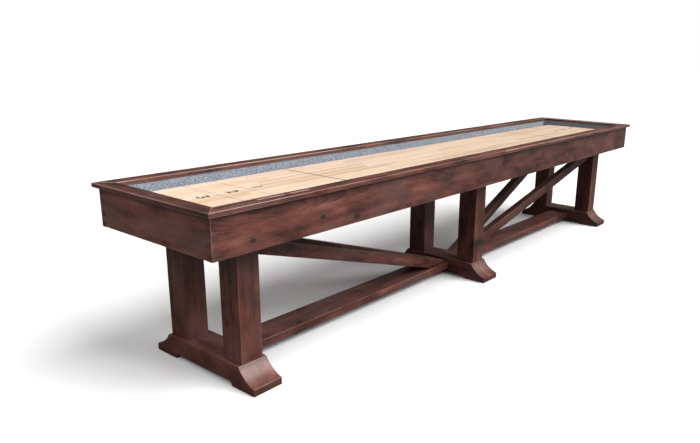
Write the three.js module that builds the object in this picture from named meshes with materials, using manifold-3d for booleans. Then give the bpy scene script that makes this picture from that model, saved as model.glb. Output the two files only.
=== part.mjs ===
// Shuffleboard table. Millimetres, +Z up. +X runs along the table, +Y to the back.
// The origin is on the floor, under the middle of the table.
import * as THREE from 'three';
import { mergeVertices } from 'three/addons/utils/BufferGeometryUtils.js';
import Module from 'manifold-3d';

const wasm = await Module();
wasm.setup();

// ---- driving dimensions ----------------------------------------------------
const FIT = 0.3;                    // gap left between pieces that touch

const TABLE_LENGTH = 4267;          // over the top rail
const TABLE_WIDTH = 822;
const TABLE_HEIGHT = 840;

const RAIL_WIDTH = 74;
const RAIL_THICKNESS = 20;
const RAIL_OVERHANG = 20.5;         // past the cabinet's outer face

const SIDE_HEIGHT = 173;            // cabinet side boards
const SIDE_THICKNESS = 32;
const FINGER_COUNT = 7;             // fingers of the corner joint

const LINER_THICKNESS = 17.7;       // carpeted board on each gutter wall
const GUTTER_FLOOR_THICKNESS = 14;
const GUTTER_DEPTH = 80;            // playing surface down to the gutter's carpet

const FIELD_WIDTH = 508;
const FIELD_THICKNESS = 76;
const FIELD_RECESS = 45;            // top of the rail down to the playing surface
const END_GUTTER = 106;             // end of the playfield to the liner

const TRESTLE_INSET = 268;          // cabinet's outer end to the middle of an end trestle
const FOOT_LENGTH = 709;
const FOOT_WIDTH = 154;
const FOOT_HEIGHT = 107;
const FOOT_NOSE = 33;               // height of the upright nose at each end
const FOOT_SWEEP_SAG = 12;          // hollow of the swept end below its chord
const PAD_LENGTH = 150;
const PAD_RAISE = 22;               // arch under the foot between the pads

const POST_DEPTH = 114;             // along X
const POST_WIDTH = 124;             // along Y
const POST_SPREAD = 388;            // centre to centre of a pair
const TENON_LENGTH = 50;
const TENON_SHOULDER = 24;

const HEADER_RECESS = 4;            // underside of the header above the side boards' lower edge
const CROSS_SUPPORT_THICKNESS = 45;

const STRETCHER_WIDTH = 163;
const STRETCHER_THICKNESS = 40;
const STRETCHER_TOP = 80;

const BRACE_THICKNESS = 53;
const BRACE_DEPTH = 62;
const BRACE_LOW_Z = 34;             // centre line, carried on to the middle trestle's centre
const BRACE_LOW_Y = 14;
const BRACE_DROP = 49;              // centre line at the post's face, below the post's top

const BRACKET_WIDTH = 60;
const BRACKET_PLATE = 6;
const BRACKET_DROP = 46;
const BRACKET_FLANGE = 50;
const BRACKET_SPREAD = 400;         // between the outer faces of a pair
const BOLT_DIAMETER = 12;
const BOLT_DROP = 30;               // bolt's axis below the playfield
const BOLT_HEAD_ACROSS = 24;
const BOLT_HEAD_LENGTH = 12;
const BOLT_TAIL = 14;               // end past the back bracket
const BOLT_CLEARANCE = 0.4;         // radial
const ADJUSTER_INSET = 461;         // middle of an end trestle to the nearest adjuster

const LEVELER_INSET = 112;          // foot's end to the leveller's axis
const LEVELER_PAD_DIAMETER = 44;
const LEVELER_PAD_HEIGHT = 7;
const LEVELER_PAD_CHAMFER = 2;
const LEVELER_STUD_DIAMETER = 10;
const LEVELER_STUD_CHAMFER = 1;
const LEVELER_STUD_COVER = 5;       // wood between the stud's bore and a post's mortise
const LEVELER_RECESS = 1;           // underside of the pad above the floor
const LEVELER_CLEARANCE = 0.4;      // radial, stud and pad

const STRIP_WIDTH = 9;
const STRIP_DEPTH = 2;
const STRIP_INSET = 27;             // inner edge of the rail to the strip's middle
const STRIPS = [                    // from the left end of the table to the strip, and its length
  { name: 'score_strip_1', start: 264, length: 139 },
  { name: 'score_strip_2', start: 433, length: 108 },
];

const ROUND_SIDES = 32;
const HEXAGON_SIDES = 6;
const CURVE_SEGMENTS = 10;
const MERGE_DISTANCE = 1e-4;
const CUT_PAST = 1;                 // a cutting shape runs this far past the face it enters

// ---- sizes that follow -----------------------------------------------------
const railHalfX = TABLE_LENGTH / 2;
const railHalfY = TABLE_WIDTH / 2;
const railInnerX = railHalfX - RAIL_WIDTH;
const railInnerY = railHalfY - RAIL_WIDTH;
const railBottom = TABLE_HEIGHT - RAIL_THICKNESS;

const cabinetX = railHalfX - RAIL_OVERHANG;
const cabinetY = railHalfY - RAIL_OVERHANG;
const sideTop = railBottom - FIT;
const sideBottom = sideTop - SIDE_HEIGHT;
const insideX = cabinetX - SIDE_THICKNESS;
const insideY = cabinetY - SIDE_THICKNESS;

const linerX = insideX - FIT - LINER_THICKNESS;
const linerY = insideY - FIT - LINER_THICKNESS;

const fieldTop = TABLE_HEIGHT - FIELD_RECESS;
const fieldBottom = fieldTop - FIELD_THICKNESS;
const fieldHalfX = linerX - END_GUTTER;
const fieldHalfY = FIELD_WIDTH / 2;

const gutterTop = fieldTop - GUTTER_DEPTH;
const gutterBottom = gutterTop - GUTTER_FLOOR_THICKNESS;

const headerBottom = sideBottom + HEADER_RECESS;
const headerShoulder = gutterBottom - FIT;
const headerTop = fieldBottom - FIT;
const headerTongue = fieldHalfY;

const postTop = headerBottom - FIT;
const postBottom = FOOT_HEIGHT + FIT;
const postOuterY = (POST_SPREAD + POST_WIDTH) / 2;
const trestleSpacing = cabinetX - TRESTLE_INSET;
const trestleX = [-trestleSpacing, 0, trestleSpacing];
const trestleName = ['left', 'middle', 'right'];

const boltZ = fieldBottom - FIT - BOLT_DROP;
const boltRadius = BOLT_DIAMETER / 2;

const levelerY = FOOT_LENGTH / 2 - LEVELER_INSET;
const tenonBottom = FOOT_HEIGHT - TENON_LENGTH;
const studTop = tenonBottom - FIT - LEVELER_STUD_COVER - LEVELER_CLEARANCE;

// ---- finishes --------------------------------------------------------------
const finish = (color, roughness, metalness) => ({ color, roughness, metalness });
const STAINED_WOOD = finish(0x5a3129, 0.45, 0);
const MAPLE = finish(0xe6c59c, 0.3, 0);
const CARPET = finish(0x8f9bb0, 0.95, 0);
const SOFTWOOD = finish(0x8a6a4c, 0.7, 0);
const STEEL = finish(0x9a9c9e, 0.4, 0.9);
const STRIP_METAL = finish(0xb9aa9c, 0.35, 0.7);

// ---- helpers ---------------------------------------------------------------
const table = new THREE.Group();

function addMesh(name, geometry, look) {
  const mesh = new THREE.Mesh(geometry, new THREE.MeshStandardMaterial(look));
  mesh.name = name;
  table.add(mesh);
  return mesh;
}

// A box between two corners, given in either order.
function block(x0, x1, y0, y1, z0, z1) {
  const geometry = new THREE.BoxGeometry(Math.abs(x1 - x0), Math.abs(y1 - y0), Math.abs(z1 - z0));
  geometry.translate((x0 + x1) / 2, (y0 + y1) / 2, (z0 + z1) / 2);
  return geometry;
}

function outline(points) {
  return new THREE.Shape(points.map(([a, b]) => new THREE.Vector2(a, b)));
}

function extrude(shape, depth) {
  return new THREE.ExtrudeGeometry(shape, { depth, bevelEnabled: false, curveSegments: CURVE_SEGMENTS });
}

// A plan outline (x, y) given a thickness upwards from z0.
function extrudeUp(shape, z0, z1) {
  const geometry = extrude(shape, z1 - z0);
  geometry.translate(0, 0, z0);
  return geometry;
}

// An end outline (y, z) carried along X from x0 to x1.
function extrudeAlongX(shape, x0, x1) {
  const geometry = extrude(shape, x1 - x0);
  geometry.rotateX(Math.PI / 2);
  geometry.rotateZ(Math.PI / 2);
  geometry.translate(x0, 0, 0);
  return geometry;
}

// A front outline (x, z) carried along Y from y0 to y1.
function extrudeAlongY(shape, y0, y1) {
  const geometry = extrude(shape, y1 - y0);
  geometry.rotateX(Math.PI / 2);
  geometry.translate(0, y1, 0);
  return geometry;
}

function toSolid(geometry) {
  const plain = geometry.clone();
  plain.deleteAttribute('normal');
  plain.deleteAttribute('uv');
  const merged = mergeVertices(plain, MERGE_DISTANCE);
  return new wasm.Manifold(new wasm.Mesh({
    numProp: 3,
    vertProperties: new Float32Array(merged.attributes.position.array),
    triVerts: new Uint32Array(merged.index.array),
  }));
}

function toGeometry(solid) {
  const mesh = solid.getMesh();
  const geometry = new THREE.BufferGeometry();
  geometry.setAttribute('position', new THREE.BufferAttribute(mesh.vertProperties, 3));
  geometry.setIndex(new THREE.BufferAttribute(mesh.triVerts, 1));
  return geometry;
}

const join = (...parts) => toGeometry(parts.map(toSolid).reduce((sum, part) => sum.add(part)));
const cut = (from, ...tools) =>
  toGeometry(tools.map(toSolid).reduce((left, tool) => left.subtract(tool), toSolid(from)));
const common = (a, b) => toGeometry(toSolid(a).intersect(toSolid(b)));

function uprightCylinder(radius, z0, z1, x, y) {
  const geometry = new THREE.CylinderGeometry(radius, radius, z1 - z0, ROUND_SIDES);
  geometry.rotateX(Math.PI / 2);
  geometry.translate(x, y, (z0 + z1) / 2);
  return geometry;
}

function crossCylinder(radius, y0, y1, x, z, sides = ROUND_SIDES) {
  const geometry = new THREE.CylinderGeometry(radius, radius, Math.abs(y1 - y0), sides);
  geometry.translate(x, (y0 + y1) / 2, z);
  return geometry;
}

// ---- top rail --------------------------------------------------------------
// Boards with mitred corners. Each long rail is two boards that meet at the middle of the table.
function makeRails() {
  const halfGap = FIT / 2;
  for (const [sideName, sy] of [['front', -1], ['back', 1]]) {
    for (const [endName, sx] of [['left', -1], ['right', 1]]) {
      const corners = [
        [sx * halfGap, sy * railInnerY],
        [sx * (railInnerX - FIT), sy * railInnerY],
        [sx * (railHalfX - FIT), sy * railHalfY],
        [sx * halfGap, sy * railHalfY],
      ];
      const geometry = extrudeUp(outline(corners), railBottom, TABLE_HEIGHT);
      const pockets = STRIPS
        .filter(() => sideName === 'front' && endName === 'left')
        .map((strip) => stripBlock(strip, FIT, CUT_PAST));
      addMesh(`top_rail_${sideName}_${endName}`, pockets.length ? cut(geometry, ...pockets) : geometry,
        STAINED_WOOD);
    }
  }
  for (const [endName, sx] of [['left', -1], ['right', 1]]) {
    const corners = [
      [sx * railInnerX, -railInnerY + FIT],
      [sx * railHalfX, -railHalfY + FIT],
      [sx * railHalfX, railHalfY - FIT],
      [sx * railInnerX, railInnerY - FIT],
    ];
    addMesh(`top_rail_${endName}`, extrudeUp(outline(corners), railBottom, TABLE_HEIGHT), STAINED_WOOD);
  }
}

// The inlaid score strip, or its pocket when grown by a gap and raised past the rail's top.
function stripBlock(strip, gap, rise) {
  const x0 = -railHalfX + strip.start;
  const y = -railInnerY - STRIP_INSET;
  return block(x0 - gap, x0 + strip.length + gap, y - STRIP_WIDTH / 2 - gap, y + STRIP_WIDTH / 2 + gap,
    TABLE_HEIGHT - STRIP_DEPTH - gap, TABLE_HEIGHT + rise);
}

function makeStrips() {
  for (const strip of STRIPS) {
    addMesh(strip.name, stripBlock(strip, 0, 0), STRIP_METAL);
  }
}

// ---- cabinet ---------------------------------------------------------------
// The jointed end of a board seen on its face: a ladder of fingers from the lower edge to the upper one,
// which reach to the tip, and of notches that go back to the shoulder.
function fingerEdge(shoulder, tip, startsLong) {
  const pitch = SIDE_HEIGHT / FINGER_COUNT;
  const points = [];
  for (let i = 0; i < FINGER_COUNT; i += 1) {
    const long = (i % 2 === 0) === startsLong;
    const along = long ? tip : shoulder;
    const low = sideBottom + i * pitch;
    const high = low + pitch;
    const halfGap = FIT / 2;
    const trim = long ? halfGap : -halfGap;
    points.push([along, i === 0 ? low : low + trim]);
    points.push([along, i === FINGER_COUNT - 1 ? high : high - trim]);
  }
  return points;
}

function makeSides() {
  for (const [sideName, sy] of [['front', -1], ['back', 1]]) {
    for (const [endName, sx] of [['left', -1], ['right', 1]]) {
      const jointed = fingerEdge(sx * (insideX - FIT), sx * cabinetX, true);
      const square = [[sx * FIT / 2, sideTop], [sx * FIT / 2, sideBottom]];
      const y0 = sy < 0 ? -cabinetY : insideY;
      addMesh(`side_board_${sideName}_${endName}`,
        extrudeAlongY(outline([...jointed, ...square]), y0, y0 + SIDE_THICKNESS), STAINED_WOOD);
    }
  }
  for (const [endName, sx] of [['left', -1], ['right', 1]]) {
    const frontEdge = fingerEdge(-(insideY - FIT), -cabinetY, false);
    const backEdge = fingerEdge(insideY - FIT, cabinetY, false).reverse();
    const x0 = sx < 0 ? -cabinetX : insideX;
    addMesh(`end_board_${endName}`,
      extrudeAlongX(outline([...frontEdge, ...backEdge]), x0, x0 + SIDE_THICKNESS), STAINED_WOOD);
  }
}

function makeGutter() {
  const floorX = insideX - FIT;
  const floorY = insideY - FIT;
  const endX = fieldHalfX + FIT;
  const wallBottom = gutterTop + FIT;
  const wallTop = railBottom - FIT;
  for (const [sideName, sy] of [['front', -1], ['back', 1]]) {
    const inner = sy * (headerTongue + FIT);
    const outer = sy * floorY;
    addMesh(`gutter_floor_${sideName}`,
      block(-endX, endX, inner, outer, gutterBottom, gutterTop), CARPET);
    const face = sy * linerY;
    addMesh(`gutter_wall_${sideName}`,
      block(-floorX, floorX, face, outer, wallBottom, wallTop), CARPET);
  }
  for (const [endName, sx] of [['left', -1], ['right', 1]]) {
    const inner = sx * (endX + FIT);
    const outer = sx * floorX;
    addMesh(`gutter_floor_${endName}`,
      block(inner, outer, -floorY, floorY, gutterBottom, gutterTop), CARPET);
    const face = sx * linerX;
    const wallY = linerY - FIT;
    addMesh(`gutter_wall_${endName}`, block(face, outer, -wallY, wallY, wallBottom, wallTop), CARPET);
  }
}

function makePlayfield() {
  addMesh('playfield', block(-fieldHalfX, fieldHalfX, -fieldHalfY, fieldHalfY, fieldBottom, fieldTop), MAPLE);
}

// ---- supports under the playfield ------------------------------------------
// A cross beam with a raised tongue that carries the playfield, and lower ends under the gutter floors.
function supportOutline() {
  const end = insideY - FIT;
  return outline([
    [-end, headerBottom],
    [end, headerBottom],
    [end, headerShoulder],
    [headerTongue, headerShoulder],
    [headerTongue, headerTop],
    [-headerTongue, headerTop],
    [-headerTongue, headerShoulder],
    [-end, headerShoulder],
  ]);
}

function makeCrossSupports() {
  for (const [name, sx] of [['left', -1], ['right', 1]]) {
    const x = sx * trestleSpacing / 2;
    const half = CROSS_SUPPORT_THICKNESS / 2;
    addMesh(`cross_support_${name}`, extrudeAlongX(supportOutline(), x - half, x + half), SOFTWOOD);
  }
}

// ---- trestles --------------------------------------------------------------
// The foot seen from the end of the table: pads at both ends, an arch between them,
// an upright nose and a hollow sweep from the nose up to the post.
function footOutline() {
  const end = FOOT_LENGTH / 2;
  const padInner = end - PAD_LENGTH;
  const cove = PAD_RAISE;
  const top = postOuterY;
  const rise = FOOT_HEIGHT - FOOT_NOSE;
  const run = end - top;
  const chord = Math.hypot(run, rise);
  const radius = chord * chord / (8 * FOOT_SWEEP_SAG) + FOOT_SWEEP_SAG / 2;
  const slope = Math.atan2(rise, run);
  const halfAngle = Math.asin(chord / 2 / radius);
  const centreY = (end + top) / 2 + (radius - FOOT_SWEEP_SAG) * Math.sin(slope);
  const centreZ = (FOOT_HEIGHT + FOOT_NOSE) / 2 + (radius - FOOT_SWEEP_SAG) * Math.cos(slope);
  const middle = -Math.PI / 2 - slope;
  const shape = new THREE.Shape();
  shape.moveTo(-padInner + cove, PAD_RAISE);
  shape.absarc(-padInner + cove, 0, cove, Math.PI / 2, Math.PI, false);
  shape.lineTo(-end, 0);
  shape.lineTo(-end, FOOT_NOSE);
  shape.absarc(-centreY, centreZ, radius, Math.PI - middle - halfAngle, Math.PI - middle + halfAngle, false);
  shape.lineTo(top, FOOT_HEIGHT);
  shape.absarc(centreY, centreZ, radius, middle - halfAngle, middle + halfAngle, false);
  shape.lineTo(end, 0);
  shape.lineTo(padInner, 0);
  shape.absarc(padInner - cove, 0, cove, 0, Math.PI / 2, false);
  shape.closePath();
  return shape;
}

// A tenon under a post, or its mortise when grown by a gap.
function tenonBlock(x, y, gap) {
  const halfX = POST_DEPTH / 2 - TENON_SHOULDER + gap;
  const halfY = POST_WIDTH / 2 - TENON_SHOULDER + gap;
  return block(x - halfX, x + halfX, y - halfY, y + halfY, tenonBottom - gap, FOOT_HEIGHT + CUT_PAST);
}

function makeTrestles() {
  trestleX.forEach((x, i) => {
    const half = FOOT_WIDTH / 2;
    const tools = [];
    for (const sy of [-1, 1]) {
      const y = sy * levelerY;
      const padRadius = LEVELER_PAD_DIAMETER / 2 + LEVELER_CLEARANCE;
      const studRadius = LEVELER_STUD_DIAMETER / 2 + LEVELER_CLEARANCE;
      const recess = LEVELER_RECESS + LEVELER_PAD_HEIGHT + LEVELER_CLEARANCE;
      tools.push(uprightCylinder(padRadius, -CUT_PAST, recess, x, y));
      tools.push(uprightCylinder(studRadius, -CUT_PAST, studTop + LEVELER_CLEARANCE, x, y));
      tools.push(tenonBlock(x, sy * POST_SPREAD / 2, FIT));
    }
    addMesh(`foot_${trestleName[i]}`,
      cut(extrudeAlongX(footOutline(), x - half, x + half), ...tools), STAINED_WOOD);

    for (const [sideName, sy] of [['front', -1], ['back', 1]]) {
      const y = sy * POST_SPREAD / 2;
      const body = block(x - POST_DEPTH / 2, x + POST_DEPTH / 2, y - POST_WIDTH / 2, y + POST_WIDTH / 2,
        postBottom, postTop);
      addMesh(`post_${trestleName[i]}_${sideName}`, join(body, tenonBlock(x, y, 0)), STAINED_WOOD);
    }

    addMesh(`header_${trestleName[i]}`,
      extrudeAlongX(supportOutline(), x - POST_DEPTH / 2, x + POST_DEPTH / 2), SOFTWOOD);
  });
}

function makeStretchers() {
  const inner = FOOT_WIDTH / 2 + FIT;
  const outer = trestleSpacing - FOOT_WIDTH / 2 - FIT;
  const half = STRETCHER_WIDTH / 2;
  const bottom = STRETCHER_TOP - STRETCHER_THICKNESS;
  addMesh('stretcher_left', block(-outer, -inner, -half, half, bottom, STRETCHER_TOP), STAINED_WOOD);
  addMesh('stretcher_right', block(inner, outer, -half, half, bottom, STRETCHER_TOP), STAINED_WOOD);
}

// Each brace runs from the middle of the table, on the stretcher, out and up to an end post.
// The prism is laid along its centre line and trimmed to the faces that it meets.
function makeBraces() {
  const postFace = trestleSpacing - POST_DEPTH / 2;
  const high = new THREE.Vector3(postFace, POST_SPREAD / 2, postTop - BRACE_DROP);
  const low = new THREE.Vector3(0, BRACE_LOW_Y, BRACE_LOW_Z);
  const run = Math.hypot(high.x - low.x, high.y - low.y);
  const pitch = Math.atan2(high.z - low.z, run);
  const plan = Math.atan2(high.y - low.y, high.x - low.x);
  const length = Math.hypot(run, high.z - low.z);
  const room = block(FOOT_WIDTH / 2 + FIT, postFace - FIT, FIT / 2, postOuterY, STRETCHER_TOP + FIT, postTop);
  const prism = new THREE.BoxGeometry(length + 2 * BRACE_DEPTH, BRACE_THICKNESS, BRACE_DEPTH);
  prism.translate(length / 2, 0, 0);
  prism.rotateY(-pitch);
  prism.rotateZ(plan);
  prism.translate(low.x, low.y, low.z);
  const brace = common(prism, room);
  for (const [sideName, sy] of [['front', -1], ['back', 1]]) {
    for (const [endName, sx] of [['left', -1], ['right', 1]]) {
      addMesh(`brace_${endName}_${sideName}`, mirrored(brace, sx, sy), STAINED_WOOD);
    }
  }
}

// The same solid in another quarter of the table. A single mirror turns the faces round,
// so they are turned back.
function mirrored(geometry, sx, sy) {
  const copy = geometry.clone();
  copy.scale(sx, sy, 1);
  if (sx * sy < 0) {
    const index = copy.index.array;
    for (let i = 0; i < index.length; i += 3) {
      [index[i], index[i + 1]] = [index[i + 1], index[i]];
    }
  }
  return copy;
}

// ---- climatic adjusters ----------------------------------------------------
// Two steel angles screwed under the playfield, pulled together by a long bolt across the table.
function makeAdjusters() {
  const half = BRACKET_SPREAD / 2;
  const middleX = POST_DEPTH / 2 + BRACKET_WIDTH;
  const outerX = trestleSpacing - ADJUSTER_INSET;
  const places = [['left', -outerX], ['middle', -middleX], ['right', outerX]];
  for (const [name, x] of places) {
    const top = fieldBottom - FIT;
    for (const [sideName, sy] of [['front', -1], ['back', 1]]) {
      const plateOuter = sy * half;
      const plateInner = sy * (half - BRACKET_PLATE);
      const flangeInner = sy * (half - BRACKET_FLANGE);
      const x0 = x - BRACKET_WIDTH / 2;
      const x1 = x + BRACKET_WIDTH / 2;
      const plate = block(x0, x1, plateOuter, plateInner, top - BRACKET_DROP, top);
      const flange = block(x0, x1, plateOuter, flangeInner, top - BRACKET_PLATE, top);
      const holeStart = plateOuter + sy * CUT_PAST;
      const holeEnd = plateInner - sy * CUT_PAST;
      const hole = crossCylinder(boltRadius + BOLT_CLEARANCE, holeStart, holeEnd, x, boltZ);
      addMesh(`adjuster_bracket_${name}_${sideName}`, cut(join(plate, flange), hole), STEEL);
    }
    const headFace = -half - BOLT_CLEARANCE;
    const shank = crossCylinder(boltRadius, headFace - BOLT_HEAD_LENGTH / 2, half + BOLT_TAIL, x, boltZ);
    const headRadius = BOLT_HEAD_ACROSS / Math.sqrt(3);
    const head = crossCylinder(headRadius, headFace - BOLT_HEAD_LENGTH, headFace, x, boltZ, HEXAGON_SIDES);
    addMesh(`adjuster_bolt_${name}`, join(shank, head), STEEL);
  }
}

// ---- levellers -------------------------------------------------------------
function makeLevelers() {
  trestleX.forEach((x, i) => {
    for (const [sideName, sy] of [['front', -1], ['back', 1]]) {
      const y = sy * levelerY;
      const padTop = LEVELER_RECESS + LEVELER_PAD_HEIGHT;
      const padRadius = LEVELER_PAD_DIAMETER / 2;
      const studRadius = LEVELER_STUD_DIAMETER / 2;
      const profile = [
        [0, LEVELER_RECESS],
        [padRadius - LEVELER_PAD_CHAMFER, LEVELER_RECESS],
        [padRadius, LEVELER_RECESS + LEVELER_PAD_CHAMFER],
        [padRadius, padTop],
        [studRadius, padTop],
        [studRadius, studTop - LEVELER_STUD_CHAMFER],
        [studRadius - LEVELER_STUD_CHAMFER, studTop],
        [0, studTop],
      ].map(([r, z]) => new THREE.Vector2(r, z));
      const geometry = new THREE.LatheGeometry(profile, ROUND_SIDES);
      geometry.rotateX(Math.PI / 2);
      geometry.translate(x, y, 0);
      addMesh(`leveler_${trestleName[i]}_${sideName}`, geometry, STEEL);
    }
  });
}

makeRails();
makeStrips();
makeSides();
makeGutter();
makePlayfield();
makeCrossSupports();
makeTrestles();
makeStretchers();
makeBraces();
makeAdjusters();
makeLevelers();

export default table;
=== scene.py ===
# %% [markdown]
# # A shuffleboard table
# The table is a long shallow box on three trestles. A thick maple playfield lies in the box with a
# carpeted gutter all round it, a flat rail caps the walls, and diagonal braces and a low stretcher
# tie the trestles together. Sizes and places were settled in the CAD model, which is loaded here as
# a fixed frame. What is left for this file is what a cabinetmaker and a finisher would do: ease the
# edges, pick the boards, stain them, lay the carpet and mark the playing surface.

# %% Load the frame
import math
import random

import bmesh
import bpy
from mathutils import Matrix, Vector


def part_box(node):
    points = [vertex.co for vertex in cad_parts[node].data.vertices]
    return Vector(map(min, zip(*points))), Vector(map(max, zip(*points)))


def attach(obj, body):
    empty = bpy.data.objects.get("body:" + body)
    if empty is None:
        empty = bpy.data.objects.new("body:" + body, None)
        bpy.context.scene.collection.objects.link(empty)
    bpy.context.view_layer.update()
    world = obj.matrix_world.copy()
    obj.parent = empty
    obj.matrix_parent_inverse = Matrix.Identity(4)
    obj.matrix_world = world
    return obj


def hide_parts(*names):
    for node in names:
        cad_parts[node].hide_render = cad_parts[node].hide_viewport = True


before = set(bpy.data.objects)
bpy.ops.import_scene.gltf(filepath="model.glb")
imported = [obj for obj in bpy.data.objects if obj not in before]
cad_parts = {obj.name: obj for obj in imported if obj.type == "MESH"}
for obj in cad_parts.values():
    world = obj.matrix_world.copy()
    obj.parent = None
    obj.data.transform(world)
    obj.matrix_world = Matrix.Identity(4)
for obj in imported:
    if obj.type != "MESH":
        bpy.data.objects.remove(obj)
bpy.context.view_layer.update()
MM = 0.001

# %% [markdown]
# ## The camera
# A table more than four metres long looks right from close by with a moderately wide lens: the near
# corner comes forward and the far end runs away. The camera stands off the near corner, a little
# above head height for someone sitting, and looks down slightly. Its frame is built from three
# directions (forward, right and up), because that keeps a small roll of the camera easy to add.

# %% Camera
CAMERA_PLACE = Vector((-3.476, -2.3114, 1.4067))
CAMERA_HEADING = 38.193
CAMERA_TILT = -15.688
CAMERA_ROLL = 1.054
LENS = 33.469
SENSOR = 36.0
SHIFT = (-0.0651, 0.0173)


def make_camera():
    heading, tilt, roll = (math.radians(a) for a in (CAMERA_HEADING, CAMERA_TILT, CAMERA_ROLL))
    run = math.cos(tilt)
    forward = Vector((math.cos(heading) * run, math.sin(heading) * run, math.sin(tilt)))
    level = Vector((math.sin(heading), -math.cos(heading), 0))
    upright = level.cross(forward)
    right = math.cos(roll) * level + math.sin(roll) * upright
    up = math.cos(roll) * upright - math.sin(roll) * level
    data = bpy.data.cameras.new("camera")
    data.sensor_width = SENSOR
    data.lens = LENS
    data.shift_x, data.shift_y = SHIFT
    camera = bpy.data.objects.new("camera", data)
    bpy.context.scene.collection.objects.link(camera)
    turn = Matrix((right, up, -forward)).transposed().to_4x4()
    camera.matrix_world = Matrix.Translation(CAMERA_PLACE) @ turn
    bpy.context.scene.camera = camera
    return camera


camera = make_camera()
print("camera", [round(v, 3) for v in camera.location])

# %% [markdown]
# ## Floor and light
# Furniture like this is shown on a white sweep. The sweep is bright to the eye, but if it lit the
# wood as strongly as that, a dark stain would look milky, because a glossy coat mirrors whatever
# stands opposite. A studio hangs black cloth just out of view against that. Here the sweep is white
# to look at and sends only dim light back. A broad key lamp stands high at the front right,
# which makes the long side lighter than the near end, and it is kept well above the horizon so that
# the flat playfield doesn't mirror it from behind. The sky gives the flat tops their share, and a
# small fill lamp over the near end lifts it, and fades before it reaches the middle legs.

# %% Stage
FLOOR_SPAN = 60.0
FLOOR_DROP = 0.5 * MM
KEY_DIRECTION = Vector((0.36, -0.66, 0.84))
KEY_STRENGTH = 3.9
KEY_ANGLE = math.radians(52)
FILL_PLACE = Vector((-4.1, -1.0, 2.7))
FILL_TARGET = Vector((-1.9, 0, 0.5))
FILL_POWER = 42
FILL_SIZE = 1.8
SKY_ZENITH = (0.50, 0.49, 0.485)
SKY_BRIGHT_SIDE = (0.42, 0.41, 0.40)
SKY_DARK_SIDE = (0.050, 0.047, 0.045)
SEEN_WHITE = (1.0, 1.0, 1.0)


def link(name, bm):
    mesh = bpy.data.meshes.new(name)
    bm.to_mesh(mesh)
    bm.free()
    piece = bpy.data.objects.new(name, mesh)
    bpy.context.scene.collection.objects.link(piece)
    return piece


def make_floor():
    bm = bmesh.new()
    bmesh.ops.create_grid(bm, x_segments=1, y_segments=1, size=FLOOR_SPAN / 2)
    bmesh.ops.translate(bm, verts=bm.verts, vec=(0, 0, -FLOOR_DROP))
    floor = link("floor", bm)
    return floor


def make_lamp(name, kind, energy, place, direction, **settings):
    data = bpy.data.lights.new(name, kind)
    data.energy = energy
    for setting, value in settings.items():
        setattr(data, setting, value)
    lamp = bpy.data.objects.new(name, data)
    bpy.context.scene.collection.objects.link(lamp)
    lamp.location = place
    lamp.rotation_euler = direction.to_track_quat("Z", "Y").to_euler()


floor = make_floor()
make_lamp("key", "SUN", KEY_STRENGTH, KEY_DIRECTION, KEY_DIRECTION, angle=KEY_ANGLE)
make_lamp("fill", "AREA", FILL_POWER, FILL_PLACE, FILL_PLACE - FILL_TARGET, shape="DISK", size=FILL_SIZE)
bpy.context.scene.view_settings.view_transform = "Standard"
print("key", [round(v, 2) for v in KEY_DIRECTION])

# %% [markdown]
# ## Writing shader maths as Python
# Wood is a formula: rings round a pith, bent by noise and interrupted by knots. Wiring that by hand
# hides it, so a small class wraps a socket and lets ordinary operators add the Math nodes. Noise runs
# from 0 to 1, and swing turns it into a push either way from its middle. A second class owns one
# material and has one method that makes any other node; the rest of it only gives the nodes that are
# used most a short name.


# %% Socket and material classes
class Value:
    def __init__(self, owner, socket):
        self.owner = owner
        self.socket = socket

    def math(self, operation, *others, clamp=False):
        values = dict(enumerate((self, *others)))
        return self.owner.node("Math", {"operation": operation, "use_clamp": clamp}, values)

    def __add__(self, other):
        return self.math("ADD", other)

    def __sub__(self, other):
        return self.math("SUBTRACT", other)

    def __rsub__(self, other):
        return self.owner.node("Math", {"operation": "SUBTRACT"}, {0: other, 1: self})

    def __mul__(self, other):
        return self.math("MULTIPLY", other)

    def __truediv__(self, other):
        return self.math("DIVIDE", other)

    def __pow__(self, other):
        return self.math("POWER", other)

    def __abs__(self):
        return self.math("ABSOLUTE")

    def floor(self):
        return self.math("FLOOR")

    def fraction(self):
        return self.math("FRACT")

    def clamped(self):
        return self.math("ADD", 0.0, clamp=True)

    def swing(self, width):
        return (self - 0.5) * width

    __radd__ = __add__
    __rmul__ = __mul__


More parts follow.
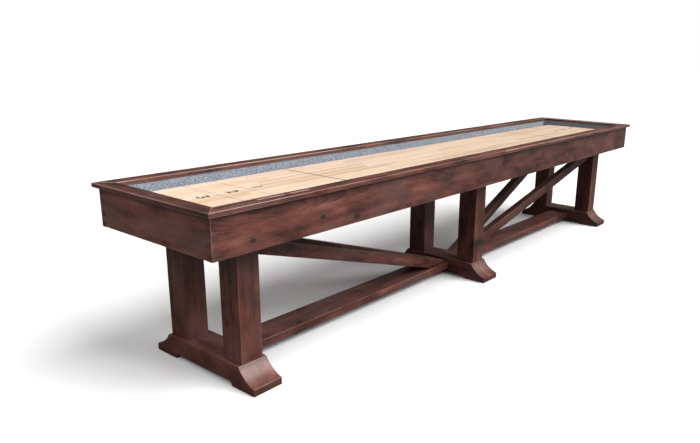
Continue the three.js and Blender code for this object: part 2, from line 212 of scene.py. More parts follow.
class Finish:
    def __init__(self, name, owner=None):
        self.material = owner or bpy.data.materials.new(name)
        self.material.use_nodes = True
        self.tree = self.material.node_tree
        self.shader = next(node for node in self.tree.nodes if node.outputs)

    def feed(self, socket, value):
        if isinstance(value, Value):
            self.tree.links.new(value.socket, socket)
        elif isinstance(value, tuple) and len(value) == 3 and socket.type == "RGBA":
            socket.default_value = (*value, 1)
        else:
            socket.default_value = value

    def node(self, kind, settings=None, inputs=None, output=0):
        node = self.tree.nodes.new("ShaderNode" + kind)
        for key, setting in (settings or {}).items():
            setattr(node, key, setting)
        for key, value in (inputs or {}).items():
            self.feed(node.inputs[key], value)
        return Value(self, node.outputs[output])

    def attribute(self, name, output="Fac"):
        return self.node("Attribute", {"attribute_name": name}, output=output)

    def place(self):
        return self.node("TexCoord", output="Object")

    def scaled(self, vector, scale, shift=(0, 0, 0)):
        return self.node("Mapping", inputs={"Vector": vector, "Scale": scale, "Location": shift})

    def parts(self, vector):
        split = self.node("SeparateXYZ", inputs={0: vector}).socket.node
        return [Value(self, socket) for socket in split.outputs]

    def noise(self, vector, scale=1.0, detail=2.0, roughness=0.5, output="Fac"):
        inputs = {"Vector": vector, "Scale": scale, "Detail": detail, "Roughness": roughness}
        return self.node("TexNoise", inputs=inputs, output=output)

    def step(self, value, low, high):
        inputs = {"Value": value, "From Min": low, "From Max": high}
        return self.node("MapRange", {"interpolation_type": "SMOOTHSTEP"}, inputs)

    def mix(self, first, second, factor, blend="MIX"):
        settings = {"data_type": "RGBA", "blend_type": blend}
        return self.node("Mix", settings, {0: factor, 6: first, 7: second}, output=2)

    def toned(self, colour, strength):
        return self.node("VectorMath", {"operation": "SCALE"}, {0: colour, "Scale": strength})

    def bump(self, height, distance, strength=1.0):
        inputs = {"Height": height, "Distance": distance, "Strength": strength}
        return self.node("Bump", inputs=inputs)

    def put(self, **sockets):
        for name, value in sockets.items():
            self.feed(self.shader.inputs[name.replace("_", " ")], value)
        return self.material


print("shader helpers ready")

# %% [markdown]
# ## Sky and sweep
# The sky is a dome: brightest overhead, a little dimmer low down at the front, and nearly dark low
# down at the back. Light Path tells a shader which rays are looked along and which only carry light.
# The first see plain white, the others see the dome. The floor does the same, and it keeps the soft
# shadow round the feet. It is all stage, so none of it is part of the table.

# %% Sky and sweep
FRONT_EAST = 0.3
FRONT_SOUTH = 0.9
SIDE_FADE = (-0.3, 0.9)
DOME_FADE = (0.25, 0.95)
SWEEP_SEEN = (0.93, 0.93, 0.93)
SWEEP_LIT = (0.085, 0.08, 0.078)
SWEEP_HAZE_SCALE = 0.4
SWEEP_HAZE_SHARE = 0.3


def make_sky():
    world = bpy.data.worlds.new("studio_sky")
    sky = Finish("studio_sky", world)
    east, north, up = sky.parts(sky.node("TexCoord", output="Generated"))
    towards_front = east * FRONT_EAST - north * FRONT_SOUTH
    side = sky.mix(SKY_DARK_SIDE, SKY_BRIGHT_SIDE, sky.step(towards_front, *SIDE_FADE))
    dome = sky.mix(side, SKY_ZENITH, sky.step(up, *DOME_FADE))
    seen = sky.node("LightPath", output="Is Camera Ray")
    sky.put(Color=sky.mix(dome, SEEN_WHITE, seen))
    bpy.context.scene.world = world


def make_sweep():
    sweep = Finish("pale_floor")
    haze = sweep.noise(sweep.place(), scale=SWEEP_HAZE_SCALE)
    pale = sweep.mix(SWEEP_SEEN, SEEN_WHITE, haze * SWEEP_HAZE_SHARE)
    seen = sweep.node("LightPath", output="Is Camera Ray")
    colour = sweep.mix(SWEEP_LIT, pale, seen)
    floor.data.materials.append(sweep.put(Base_Color=colour, Roughness=0.9))


make_sky()
make_sweep()
print("sky and sweep ready")

# %% [markdown]
# ## Stained wood
# The frame is a knotty softwood under a dark red-brown stain and a satin lacquer. Stain on such wood
# is uneven: soft early wood drinks more than the hard late wood of each ring, blotches come up
# lighter or greyer, knots and end grain go nearly black, and worn corners show the paler wood
# again. That pale edge colour is also a painted highlight along each eased edge, and the board's
# tone that scales the colour is partly painted light and shade on the cabinet and rail. The rings
# are worked out as a solid in the tree's own space: distance from the pith, in a point attribute
# that every board carries. So the same formula gives straight grain on an edge, arches on a wide
# face and arcs on a sawn end, with the figure meeting at each corner. Every *_WAVES value says how
# often a noise repeats in a metre along the board and in the two ways across it: few along and many
# across makes fibres, and nearly even makes blotches.

# %% Stained wood
RING = 4.2 * MM
LATE_WOOD_EDGE = 2.2
DRIFT_WAVES = (0.8, 2.5, 2.5)
DRIFT = 0.09
KNOT_WAVES = (2.6, 4.4, 4.4)
KNOT_CHOICE = (0.44, 0.46)
KNOT_SMALLEST = 0.022
KNOT_GROWTH = 0.045
KNOT_CORE = (1.25, 0.55)
KNOT_HALO = (5.0, 0.8)
KNOT_SWIRL = 0.011
STREAK_WAVES = (2.4, 38, 38)
FIBRE_WAVES = (22, 700, 700)
BLOTCH_WAVES = (4.5, 12, 12)
HAZE_WAVES = (2.2, 5, 5)
HAZE_SHIFT = (5, 3, 1)
STAIN_LEVEL = 0.46
MIDDLE_RANGE = (0.02, 0.52)
LIGHT_RANGE = (0.46, 1.05)
GREY_RANGE = (0.48, 0.70)
RUB_AND_HIGHLIGHT_RANGE = (0.38, 0.80)
SATIN_COAT = 0.22
SATIN_COAT_ROUGHNESS = 0.16
FIBRE_HEIGHT = 0.25 * MM
STAIN_DARK = (0.043, 0.0125, 0.0095)
STAIN_MIDDLE = (0.142, 0.046, 0.0325)
STAIN_LIGHT = (0.29, 0.115, 0.084)
STAIN_GREY = (0.125, 0.068, 0.062)
KNOT_BLACK = (0.012, 0.006, 0.005)
# Pale edge colour: partly worn wood, partly a painted highlight on the eased arris.
RUBBED_AND_HIGHLIGHT = (0.56, 0.37, 0.29)


def rings(finish, board, swirl):
    along, across, deep = finish.parts(board)
    drift = finish.parts(finish.noise(finish.scaled(board, DRIFT_WAVES), output="Color"))
    across = across + drift[0].swing(DRIFT)
    deep = deep + drift[1].swing(DRIFT)
    radius = (across * across + deep * deep) ** 0.5 + swirl
    return (radius / RING).fraction()


def knots(finish, board):
    flat = {"voronoi_dimensions": "2D"}
    inputs = {"Vector": finish.scaled(board, KNOT_WAVES), "Scale": 1.0}
    distance = finish.node("TexVoronoi", flat, inputs, output="Distance")
    chosen = finish.parts(finish.node("TexVoronoi", flat, inputs, output="Color"))[0]
    kept = finish.step(chosen, *KNOT_CHOICE)
    size = KNOT_SMALLEST + chosen * KNOT_GROWTH
    core = finish.step(distance / size, *KNOT_CORE) * kept
    halo = finish.step(distance / size, *KNOT_HALO) * kept
    return core, halo


def stained_wood():
    finish = Finish("dark_stain")
    board = finish.attribute("board", "Vector")
    core, halo = knots(finish, board)
    late = rings(finish, board, halo * KNOT_SWIRL) ** LATE_WOOD_EDGE
    streak = finish.noise(finish.scaled(board, STREAK_WAVES), detail=3.0, roughness=0.6)
    fibre = finish.noise(finish.scaled(board, FIBRE_WAVES), detail=2.0)
    blotch = finish.noise(finish.scaled(board, BLOTCH_WAVES), detail=4.0, roughness=0.6)
    haze = finish.noise(finish.scaled(board, HAZE_WAVES, HAZE_SHIFT), detail=3.0, roughness=0.6)
    depth = STAIN_LEVEL + streak.swing(0.85) + blotch.swing(1.75) - late * 0.24 + fibre.swing(0.30)
    low = finish.mix(STAIN_DARK, STAIN_MIDDLE, finish.step(depth, *MIDDLE_RANGE))
    colour = finish.mix(low, STAIN_LIGHT, finish.step(depth, *LIGHT_RANGE))
    colour = finish.mix(colour, STAIN_GREY, finish.step(haze, *GREY_RANGE) * 0.6)
    colour = finish.mix(colour, KNOT_BLACK, halo * 0.42)
    colour = finish.mix(colour, KNOT_BLACK, core * 0.85)
    colour = finish.mix(colour, STAIN_DARK, finish.attribute("end_grain") * 0.45)
    # The eased faces are lightened: partly wear, partly a painted edge highlight.
    rub_and_highlight = finish.attribute("rubbed_and_highlight") * finish.step(streak * 0.6 + haze * 0.6, *RUB_AND_HIGHLIGHT_RANGE)
    colour = finish.mix(colour, RUBBED_AND_HIGHLIGHT, rub_and_highlight * 0.85)
    # Each board's tone scales the stain: random on the legs, partly painted light and shade on the
    # cabinet and rail.
    colour = finish.toned(colour, finish.attribute("tone_and_shade"))
    height = late * -0.4 + fibre * 0.7 - core * 0.8
    roughness = (0.36 + streak * 0.14 + core * 0.12 - rub_and_highlight * 0.05).clamped()
    finish.put(Coat_Weight=SATIN_COAT, Coat_Roughness=SATIN_COAT_ROUGHNESS, Coat_IOR=1.5)
    normal = finish.bump(height, FIBRE_HEIGHT, 0.6)
    return finish.put(Base_Color=colour, Roughness=roughness, Normal=normal)


STAINED_WOOD = stained_wood()
print("made", STAINED_WOOD.name, len(STAINED_WOOD.node_tree.nodes), "nodes")

# %% [markdown]
# ## Easing a board
# Nothing in the frame leaves the shop with a knife edge: the long corners are rounded with a router
# or a few strokes of sandpaper, while joints stay square so that they close. A copy of the board is
# merged into clean faces, then only the chosen edges are bevelled. While the mesh is open, each
# point is given its place in the tree, with the grain along the board's longest edge, and each new
# bevel face is marked, so that the finish can lighten the corners: partly as wear and partly as a
# painted highlight along the edge. The dice pick where along a long row of trees the board was cut,
# and how far from the pith.

# %% Board helper
SMOOTH_ANGLE = math.radians(42)
SHARP_ANGLE = math.radians(25)
FLAT_ANGLE = math.radians(0.5)
UPRIGHT = 0.9
END_FACING = 0.8
PITH_DISTANCE = (0.07, 0.19)
FOREST_LENGTH = 90.0
MERGE = 0.01 * MM
dice = random.Random(1404)


def merged_copy(node):
    bm = bmesh.new()
    bm.from_mesh(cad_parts[node].data)
    bmesh.ops.remove_doubles(bm, verts=bm.verts, dist=MERGE)
    bmesh.ops.dissolve_limit(bm, angle_limit=FLAT_ANGLE, verts=bm.verts, edges=bm.edges)
    return bm


def convex_edges(bm, chosen):
    sharp = [e for e in bm.edges if e.is_manifold and e.is_convex and e.calc_face_angle() > SHARP_ANGLE]
    return [e for e in sharp if chosen(e)]


def middle(edge):
    return (edge.verts[0].co + edge.verts[1].co) / 2


def longer_than(length):
    return lambda edge: edge.calc_length() > length


def ease(bm, edges, radius, segments=3):
    made = bmesh.ops.bevel(bm, geom=edges, offset=radius, offset_type="OFFSET", segments=segments,
                           profile=0.5, affect="EDGES", clamp_overlap=True, material=-1)
    return made["faces"]


def span(bm, axis):
    places = [v.co.dot(axis) for v in bm.verts]
    return max(places) - min(places)


def grain_axes(bm):
    longest = max(bm.edges, key=lambda e: e.calc_length())
    along = (longest.verts[1].co - longest.verts[0].co).normalized()
    side = along.cross(Vector((1, 0, 0)) if abs(along.z) > UPRIGHT else Vector((0, 0, 1))).normalized()
    other = along.cross(side)
    side_span, other_span = span(bm, side), span(bm, other)
    wide, thin = (side, other) if side_span >= other_span else (other, side)
    return along, wide, thin, max(side_span, other_span)


def add_layers(bm):
    numbers = bm.faces.layers.float
    return {
        "board": bm.verts.layers.float_vector.new("board"),
        **{name: numbers.new(name) for name in ("rubbed_and_highlight", "end_grain", "tone_and_shade")},
    }


def mark_wood(bm, layers, eased, tone_and_shade, wear):
    along, wide, thin, width = grain_axes(bm)
    centre = sum((v.co for v in bm.verts), Vector()) / len(bm.verts)
    pith = Vector((dice.random() * FOREST_LENGTH, (dice.random() - 0.5) * width,
                   dice.uniform(*PITH_DISTANCE) * dice.choice((-1, 1))))
    for vert in bm.verts:
        offset = vert.co - centre
        vert[layers["board"]] = Vector((offset.dot(along), offset.dot(wide), offset.dot(thin))) + pith
    # Faces carry the board's tone, which on the cabinet and rail includes painted light and shade.
    for face in bm.faces:
        face[layers["tone_and_shade"]] = tone_and_shade
        face[layers["end_grain"]] = float(abs(face.normal.dot(along)) > END_FACING)
    # Eased faces get the pale edge colour: partly wear, partly a painted highlight.
    for face in eased:
        face[layers["rubbed_and_highlight"]] = wear


def smooth_shade(bm):
    for face in bm.faces:
        face.smooth = True
    for edge in bm.edges:
        edge.smooth = edge.is_manifold and edge.calc_face_angle() < SMOOTH_ANGLE


def finish_piece(bm, node, material, body="table"):
    smooth_shade(bm)
    piece = link(node + "_finished", bm)
    piece.data.materials.append(material)
    piece.modifiers.new("normals", "WEIGHTED_NORMAL").keep_sharp = True
    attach(piece, body)
    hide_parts(node)


# tone scales the board's colour; on the cabinet and rail it also carries painted light and shade.
def make_board(node, radius, chosen, tone_and_shade, wear=0.45):
    bm = merged_copy(node)
    layers = add_layers(bm)
    eased = ease(bm, convex_edges(bm, chosen), radius)
    # wear sets how strongly the eased faces get the pale edge colour, which is partly wear and partly a
    # painted highlight.
    mark_wood(bm, layers, eased, tone_and_shade, wear)
    finish_piece(bm, node, STAINED_WOOD)


def nodes_named(*starts):
    return sorted(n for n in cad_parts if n.startswith(starts))


print("board helpers ready")

# %% [markdown]
# ## Cabinet and rail
# The walls are wide boards, finger-jointed at the corners, and each long wall is two boards that meet
# in the middle. The flat rail over them overhangs both ways and is mitred at the corners. The long
# edges and the outer corners are eased; the fingers and the mitres stay square. Tone is chosen board
# by board, partly because no two take the stain alike and partly as painted light and shade: the near
# end board and the near half of the front are lighter, the near end rail is darker, and the front
# rails are lighter than the back ones.

# %% Cabinet and rail
CABINET_RADIUS = 2.2 * MM
RAIL_RADIUS = 3.2 * MM
FINGER_LIMIT = 0.1
NEAR = 0.5 * MM
# Board tones: part stain variation, part painted light and shade (near end board lighter, far front
# board darker).
CABINET_TONE_AND_SHADE = {
    "end_board_left": 1.22,
    "end_board_right": 0.95,
    "side_board_front_left": 1.15,
    "side_board_front_right": 0.90,
    "side_board_back_left": 1.15,
    "side_board_back_right": 1.05,
}
# Rail tones: part stain variation, part painted light and shade (near end rail darker, front rails
# lighter).
RAIL_TONE_AND_SHADE = {
    "top_rail_left": 0.66,
    "top_rail_right": 0.90,
    "top_rail_front_left": 1.20,
    "top_rail_front_right": 1.15,
    "top_rail_back_left": 0.86,
    "top_rail_back_right": 0.86,
}

corner_low, corner_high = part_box("side_board_front_right")
cabinet_corner = Vector((corner_high.x, -corner_low.y))


def cabinet_edge(edge):
    at = middle(edge)
    on_corner = abs(abs(at.x) - cabinet_corner.x) < NEAR and abs(abs(at.y) - cabinet_corner.y) < NEAR
    return edge.calc_length() > FINGER_LIMIT or on_corner


for node, tone_and_shade in CABINET_TONE_AND_SHADE.items():
    make_board(node, CABINET_RADIUS, cabinet_edge, tone_and_shade)
# Rails get the full pale edge colour: partly wear, partly a painted highlight on the arris.
for node, tone_and_shade in RAIL_TONE_AND_SHADE.items():
    make_board(node, RAIL_RADIUS, longer_than(FINGER_LIMIT), tone_and_shade, wear=1.0)
print("cabinet boards", len(CABINET_TONE_AND_SHADE), "rails", len(RAIL_TONE_AND_SHADE))

# %% [markdown]
# ## Trestles, stretchers and braces
# Posts, feet, stretchers and braces are sawn from thicker stock. The foot is bandsawn to a swept
# shape, so its whole outline is eased on both sides, and so are the corners across its width, but not
# the holes for the levellers and the mortises for the posts.

# %% Trestles
LEG_RADIUS = 2.6 * MM
FOOT_RADIUS = 2.4 * MM
LEG_TONES = (0.88, 1.10)
# Share of the pale edge colour on the legs: partly wear, partly a painted highlight.
LEG_WEAR_AND_HIGHLIGHT = 0.22
LEG_LIMIT = 0.2


def foot_edge(node):
    low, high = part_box(node)

    def chosen(edge):
        at = middle(edge)
        on_side = min(abs(at.x - low.x), abs(at.x - high.x)) < NEAR
        return on_side or edge.calc_length() > (high.x - low.x) - NEAR

    return chosen


for node in nodes_named("post_", "stretcher_", "brace_"):
    make_board(node, LEG_RADIUS, longer_than(LEG_LIMIT), dice.uniform(*LEG_TONES), LEG_WEAR_AND_HIGHLIGHT)
for node in nodes_named("foot_"):
    make_board(node, FOOT_RADIUS, foot_edge(node), dice.uniform(*LEG_TONES), LEG_WEAR_AND_HIGHLIGHT)
print("leg pieces", len(nodes_named("post_", "stretcher_", "brace_", "foot_")))

# %% [markdown]
# ## Hidden timber
# The headers on the trestles and the cross supports between them are framing timber with a thin wash
# of the same stain. The same formula serves with a lighter tone.

# %% Hidden timber
TIMBER_RADIUS = 1.5 * MM
TIMBER_TONE = 1.35

for node in nodes_named("header_", "cross_support_"):
    make_board(node, TIMBER_RADIUS, longer_than(FINGER_LIMIT), TIMBER_TONE)
print("hidden timbers", len(nodes_named("header_", "cross_support_")))

# %% [markdown]
# ## The playfield
# A playfield is a butcher block: hard maple strips on edge, glued side by side with their butt joints
# staggered, then poured with clear polymer and rubbed down to a soft gloss. Each stave is its own
# tree, so each has its own tone between cream, yellow and pinkish tan. A strip is found from the
# place across the table and a stave from the place along it, and white noise on those two numbers
# picks the tone. The foul line and the two zone lines are at the same places from both ends, so one
# formula on the distance from the middle draws each pair.

# %% Maple
STRIP = 31.75 * MM
STRIP_START = 100.0
STAVE = 0.74
STAVE_START = 50.0
STAGGER = 9.0
TREE_SHIFT = (7, 3)
FIGURE_WAVES = (1.8, 40, 40)
MAPLE_FIBRE_WAVES = (14, 520, 520)
YELLOW_RANGE = (0.35, 0.90)
PINK_RANGE = (0.50, 0.95)
TAN_RANGE = (0.66, 1.0)
FIGURE_RANGE = (0.46, 0.76)
FIBRE_RANGE = (0.5, 0.9)
SEAM = (0.487, 0.499)
BUTT_JOINT = (0.4992, 0.4998)
SEAM_STRENGTH = 0.45
MAPLE_CREAM = (0.83, 0.69, 0.54)
MAPLE_YELLOW = (0.81, 0.62, 0.42)
MAPLE_PINK = (0.77, 0.53, 0.39)
MAPLE_TAN = (0.60, 0.40, 0.275)
GLUE = (0.34, 0.20, 0.12)
LINE_INK = (0.035, 0.022, 0.018)
FOUL_LINE = 1.172
ZONE_LINES = (1.630, 1.792)
FOUL_WIDTH = 10 * MM
ZONE_WIDTH = 3.2 * MM
LINE_OUTSIDE = 0.4 * MM
LINE_INSIDE = 0.2 * MM
FIELD_FIBRE_HEIGHT = 0.05 * MM
FIELD_RADIUS = 2.0 * MM


def line_across(finish, along, place, width):
    distance = abs(abs(along) - place)
    return finish.step(distance, width / 2 + LINE_OUTSIDE, width / 2 - LINE_INSIDE)


def maple():
    finish = Finish("strip_maple")
    place = finish.place()
    along, across, deep = finish.parts(place)
    strip = (across / STRIP + STRIP_START).floor()
    stagger = finish.node("TexWhiteNoise", {"noise_dimensions": "1D"}, {"W": strip}, output="Value")
    run = along / STAVE + stagger * STAGGER + STAVE_START
    cell = finish.node("CombineXYZ", inputs={0: strip, 1: run.floor()})
    picked = finish.node("TexWhiteNoise", {"noise_dimensions": "3D"}, {"Vector": cell}, output="Color")
    first, second, third = finish.parts(picked)
    own_tree = {0: along + first * TREE_SHIFT[0], 1: across + second * TREE_SHIFT[1], 2: deep + third}
    tree = finish.node("CombineXYZ", inputs=own_tree)
    figure = finish.noise(finish.scaled(tree, FIGURE_WAVES), detail=4.0, roughness=0.6)
    fibre = finish.noise(finish.scaled(tree, MAPLE_FIBRE_WAVES), detail=2.0)
    colour = finish.mix(MAPLE_CREAM, MAPLE_YELLOW, finish.step(first, *YELLOW_RANGE))
    colour = finish.mix(colour, MAPLE_PINK, finish.step(second, *PINK_RANGE) * 0.85)
    colour = finish.mix(colour, MAPLE_TAN, finish.step(third, *TAN_RANGE) * 0.65)
    colour = finish.mix(colour, MAPLE_TAN, finish.step(figure, *FIGURE_RANGE) * 0.70)
    colour = finish.mix(colour, MAPLE_TAN, finish.step(fibre, *FIBRE_RANGE) * 0.30)
    seam = finish.step(abs((across / STRIP).fraction() - 0.5), *SEAM)
    butt = finish.step(abs(run.fraction() - 0.5), *BUTT_JOINT)
    colour = finish.mix(colour, GLUE, seam * SEAM_STRENGTH)
    colour = finish.mix(colour, GLUE, butt * SEAM_STRENGTH)
    for zone in ZONE_LINES:
        colour = finish.mix(colour, LINE_INK, line_across(finish, along, zone, ZONE_WIDTH) * 0.8)
    colour = finish.mix(colour, LINE_INK, line_across(finish, along, FOUL_LINE, FOUL_WIDTH) * 0.9)
    roughness = 0.30 + figure * 0.12
    finish.put(Specular_IOR_Level=0.28)
    normal = finish.bump(fibre, FIELD_FIBRE_HEIGHT, 0.3)
    return finish.put(Base_Color=colour, Roughness=roughness, Normal=normal)


MAPLE = maple()
bm = merged_copy("playfield")
ease(bm, convex_edges(bm, longer_than(0)), FIELD_RADIUS)
finish_piece(bm, "playfield", MAPLE)

# %% [markdown]
# ## Scoring numbers
# The zones at each end are numbered one, two and three, three being nearest the end. The numbers are
# thin inlays: text is made a solid mesh, turned, and laid with its top a hair above the maple. Each
# reads upright for a player who stands at the end that it is at.

# %% Numbers
NUMBER_HEIGHT = 60 * MM
DIGIT_SHARE = 0.72
NUMBER_PLACES = {"3": 1.866, "2": 1.713, "1": 1.571}
NUMBER_BOLDNESS = 2.1 * MM
INLAY_DEPTH = 0.4 * MM
INLAY_RISE = 0.12 * MM
INK_WORN = (0.11, 0.075, 0.055)
INK_WEAR_WAVES = (90, 90, 90)
INK_WEAR_RANGE = (0.45, 0.75)


def ink():
    finish = Finish("number_ink")
    worn = finish.noise(finish.scaled(finish.place(), INK_WEAR_WAVES), detail=3.0)
    colour = finish.mix(LINE_INK, INK_WORN, finish.step(worn, *INK_WEAR_RANGE) * 0.6)
    return finish.put(Base_Color=colour, Roughness=0.26 + worn * 0.12, Coat_Weight=0.3)


def make_number(digit, end_name, side):
    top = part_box("playfield")[1].z + INLAY_RISE
    text = bpy.data.curves.new("number", "FONT")
    text.body = digit
    text.size = NUMBER_HEIGHT / DIGIT_SHARE
    text.extrude = INLAY_DEPTH / 2
    text.offset = NUMBER_BOLDNESS
    text.align_x = "CENTER"
    text.align_y = "CENTER"
    holder = bpy.data.objects.new("number", text)
    bpy.context.scene.collection.objects.link(holder)
    bpy.context.view_layer.update()
    bm = bmesh.new()
    bm.from_mesh(holder.to_mesh())
    bpy.data.objects.remove(holder)
    bmesh.ops.remove_doubles(bm, verts=bm.verts, dist=MERGE)
    turn = Matrix.Rotation(-side * math.pi / 2, 4, "Z")
    place = Vector((side * -NUMBER_PLACES[digit], 0, top - INLAY_DEPTH / 2))
    bmesh.ops.transform(bm, verts=bm.verts, matrix=Matrix.Translation(place) @ turn)
    piece = link(f"number_{digit}_{end_name}", bm)
    piece.data.materials.append(INK)
    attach(piece, "table")


INK = ink()
for end_name, side in (("left", 1), ("right", -1)):
    for digit in NUMBER_PLACES:
        make_number(digit, end_name, side)
print("numbers", 2 * len(NUMBER_PLACES))

# %% [markdown]
# ## Carpet
# The gutter is lined with a short-pile carpet, blue-grey with lighter and darker tufts, glued to thin
# boards. Tufts are a cell pattern: each cell has its own grey, it darkens towards its rim as painted
# shade where the tufts meet, and its dome goes into the bump. Slow noise clouds the tones a little, as
# trodden pile is. The boards get softly rounded edges, because the carpet is wrapped round them.

# %% Carpet
TUFT = 4.2 * MM
CARPET_DARK = (0.10, 0.115, 0.14)
CARPET_BLUE = (0.27, 0.305, 0.37)
CARPET_PALE = (0.62, 0.64, 0.68)
CARPET_CLOUD_SCALE = 14.0
CARPET_FUZZ_SCALE = 900.0
DARK_TUFTS = (0.62, 0.92)
PALE_TUFTS = (0.50, 0.85)
CLOUD_RANGE = (0.35, 0.65)
# Painted shade: how far from a tuft's middle its rim starts to darken.
TUFT_RIM_SHADE = (0.25, 0.75)
TUFT_DOME = (0.75, 0.0)
PILE_HEIGHT = 1.4 * MM
CARPET_RADIUS = 1.8 * MM


def carpet():
    finish = Finish("gutter_carpet")
    place = finish.place()
    inputs = {"Vector": place, "Scale": 1 / TUFT}
    distance = finish.node("TexVoronoi", inputs=inputs, output="Distance")
    pick = finish.parts(finish.node("TexVoronoi", inputs=inputs, output="Color"))
    cloud = finish.noise(place, scale=CARPET_CLOUD_SCALE, detail=3.0)
    fuzz = finish.noise(place, scale=CARPET_FUZZ_SCALE, detail=2.0)
    colour = finish.mix(CARPET_BLUE, CARPET_DARK, finish.step(pick[0], *DARK_TUFTS) * 0.8)
    colour = finish.mix(colour, CARPET_PALE, finish.step(pick[1], *PALE_TUFTS) * 0.75)
    colour = finish.mix(colour, CARPET_BLUE, finish.step(cloud, *CLOUD_RANGE) * 0.35)
    # Painted shade: each tuft darkens towards its rim, where it meets its neighbours.
    colour = finish.mix(colour, CARPET_DARK, finish.step(distance, *TUFT_RIM_SHADE) * 0.35)
    height = finish.step(distance, *TUFT_DOME) + fuzz * 0.5
    roughness = 0.88 + fuzz * 0.12
    finish.put(Sheen_Weight=0.25, Sheen_Roughness=0.6, Specular_IOR_Level=0.15)
    normal = finish.bump(height, PILE_HEIGHT, 0.8)
    return finish.put(Base_Color=colour, Roughness=roughness, Normal=normal)


CARPET = carpet()
for node in nodes_named("gutter_"):
    bm = merged_copy(node)
    ease(bm, convex_edges(bm, longer_than(0)), CARPET_RADIUS)
    finish_piece(bm, node, CARPET)
print("carpeted boards", len(nodes_named("gutter_")))

# %% [markdown]
# ## Metalwork
# The score strips let into the rail are brushed nickel. Its fine scratches run along the strip, so
# they are noise stretched that way. The adjuster angles are black powder coat over steel, with a fine
# orange peel and some dust. The bolts and levellers are zinc plate, which is bright but slightly
# mottled, from a cell pattern with faint stains over it.

# %% Metal finishes
NICKEL_BRIGHT = (0.60, 0.52, 0.46)
NICKEL_DULL = (0.36, 0.30, 0.26)
NICKEL_BRUSH_WAVES = (30, 2600, 900)
NICKEL_DULL_RANGE = (0.45, 0.75)
NICKEL_SCRATCH = 0.03 * MM
POWDER_BLACK = (0.018, 0.018, 0.020)
POWDER_DUSTY = (0.07, 0.065, 0.06)
POWDER_DUST_RANGE = (0.5, 0.8)
POWDER_GRAIN = 0.12 * MM
ZINC_BRIGHT = (0.68, 0.68, 0.67)
ZINC_STAINED = (0.50, 0.47, 0.40)
ZINC_STAIN_RANGE = (0.5, 0.8)


def brushed_nickel():
    finish = Finish("brushed_nickel")
    place = finish.place()
    brush = finish.noise(finish.scaled(place, NICKEL_BRUSH_WAVES), detail=2.0)
    wear = finish.noise(place, scale=22.0, detail=3.0)
    colour = finish.mix(NICKEL_BRIGHT, NICKEL_DULL, finish.step(wear, *NICKEL_DULL_RANGE))
    finish.put(Metallic=0.45)
    roughness = 0.28 + brush * 0.2
    normal = finish.bump(brush, NICKEL_SCRATCH, 0.4)
    return finish.put(Base_Color=colour, Roughness=roughness, Normal=normal)


def powder_coat():
    finish = Finish("powder_coat")
    place = finish.place()
    grain = finish.noise(place, scale=1500.0, detail=2.0)
    dust = finish.noise(place, scale=30.0, detail=4.0)
    colour = finish.mix(POWDER_BLACK, POWDER_DUSTY, finish.step(dust, *POWDER_DUST_RANGE) * 0.7)
    roughness = 0.42 + dust * 0.2
    normal = finish.bump(grain, POWDER_GRAIN, 0.5)
    return finish.put(Base_Color=colour, Roughness=roughness, Normal=normal)


def zinc_plate():
    finish = Finish("zinc_plate")
    place = finish.place()
    spangle = finish.node("TexVoronoi", inputs={"Vector": place, "Scale": 240.0}, output="Distance")
    stain = finish.noise(place, scale=60.0, detail=3.0)
    colour = finish.mix(ZINC_BRIGHT, ZINC_STAINED, finish.step(stain, *ZINC_STAIN_RANGE))
    roughness = 0.24 + spangle * 0.2 + stain * 0.1
    return finish.put(Base_Color=colour, Roughness=roughness, Metallic=1.0)


NICKEL = brushed_nickel()
POWDER_COAT = powder_coat()
ZINC = zinc_plate()
print("metal finishes", NICKEL.name, POWDER_COAT.name, ZINC.name)

# %% [markdown]
# ## Strips, brackets, bolts and levellers
# Pressed and turned metal keeps small radii. Only edges well longer than the radius are bevelled, so
# that the short facets of a round stud stay as they are. The radius is a hair on the thin strips and
# more on the bent angle. A bolt and a leveller each ride on a body of their own, because the one turns
# and the other winds down.

# %% Hardware
STRIP_RADIUS = 0.35 * MM
BRACKET_RADIUS = 0.9 * MM
TURNED_RADIUS = 0.4 * MM
SHORTEST_EDGE = 4


def make_hardware(node, material, radius, body):
    bm = merged_copy(node)
    ease(bm, convex_edges(bm, longer_than(SHORTEST_EDGE * radius)), radius, segments=2)
    finish_piece(bm, node, material, body)


for node in nodes_named("score_strip"):
    make_hardware(node, NICKEL, STRIP_RADIUS, "table")
for node in nodes_named("adjuster_bracket"):
    make_hardware(node, POWDER_COAT, BRACKET_RADIUS, "table")
for node in nodes_named("adjuster_bolt", "leveler"):
    make_hardware(node, ZINC, TURNED_RADIUS, node)
print("metal pieces", len(nodes_named("score_strip", "adjuster", "leveler")))

# %% [markdown]
# ## Nuts and screws under the playfield
# Each adjuster bolt ends in a nut that is welded to its back bracket, over a washer, and each bracket
# hangs from two hexagon-headed screws. They are cones with equal radii: six segments make a hexagon
# and more make a washer. The rim of each head is bevelled, as pressed heads are.

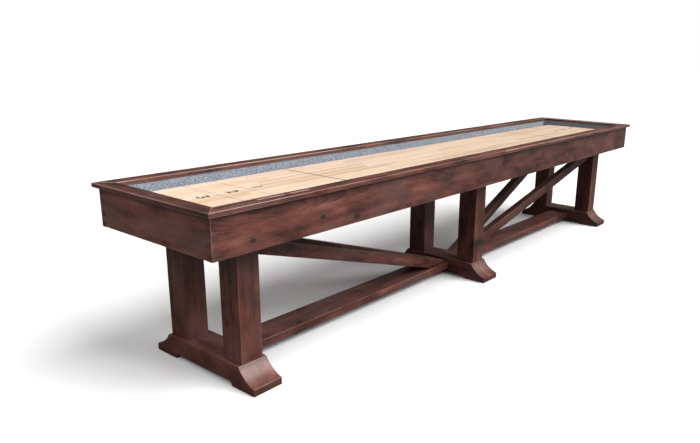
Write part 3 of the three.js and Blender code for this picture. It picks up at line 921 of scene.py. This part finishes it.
# %% Nuts and screws
NUT_RADIUS = 10.4 * MM
NUT_DEPTH = 9.5 * MM
WASHER_RADIUS = 12.5 * MM
WASHER_DEPTH = 1.6 * MM
SCREW_RADIUS = 7.2 * MM
SCREW_DEPTH = 5.0 * MM
SCREW_SPACING = 32 * MM
BRACKET_PLATE = 6 * MM
HEAD_BEVEL = 0.7 * MM
HEXAGON = 6
ROUND = 32


def add_disc(bm, place, turn, radius, depth, segments):
    matrix = Matrix.Translation(place) @ turn
    made = bmesh.ops.create_cone(bm, cap_ends=True, segments=segments, radius1=radius, radius2=radius,
                                 depth=depth, matrix=matrix)
    edges = {e for v in made["verts"] for e in v.link_edges}
    ease(bm, [e for e in edges if e.calc_face_angle() > SHARP_ANGLE], HEAD_BEVEL * depth / NUT_DEPTH, 2)


def finish_fasteners(name, bm):
    smooth_shade(bm)
    piece = link(name, bm)
    piece.data.materials.append(ZINC)
    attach(piece, "table")


sideways = Matrix.Rotation(math.pi / 2, 4, "X")
nuts = bmesh.new()
for node in nodes_named("adjuster_bolt"):
    low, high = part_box(node)
    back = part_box(node.replace("bolt", "bracket") + "_back")[1].y
    axis = (low + high) / 2
    washer = (axis.x, back + WASHER_DEPTH / 2, axis.z)
    nut = (axis.x, back + WASHER_DEPTH + NUT_DEPTH / 2, axis.z)
    add_disc(nuts, washer, sideways, WASHER_RADIUS, WASHER_DEPTH, ROUND)
    add_disc(nuts, nut, sideways, NUT_RADIUS, NUT_DEPTH, HEXAGON)
finish_fasteners("adjuster_nuts", nuts)

screws = bmesh.new()
for node in nodes_named("adjuster_bracket"):
    low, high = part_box(node)
    under = high.z - BRACKET_PLATE - SCREW_DEPTH / 2
    for side in (-1, 1):
        place = ((low.x + high.x + side * SCREW_SPACING) / 2, (low.y + high.y) / 2, under)
        add_disc(screws, place, Matrix.Identity(4), SCREW_RADIUS, SCREW_DEPTH, HEXAGON)
finish_fasteners("bracket_screws", screws)
print("nuts", len(nodes_named("adjuster_bolt")), "screws", 2 * len(nodes_named("adjuster_bracket")))
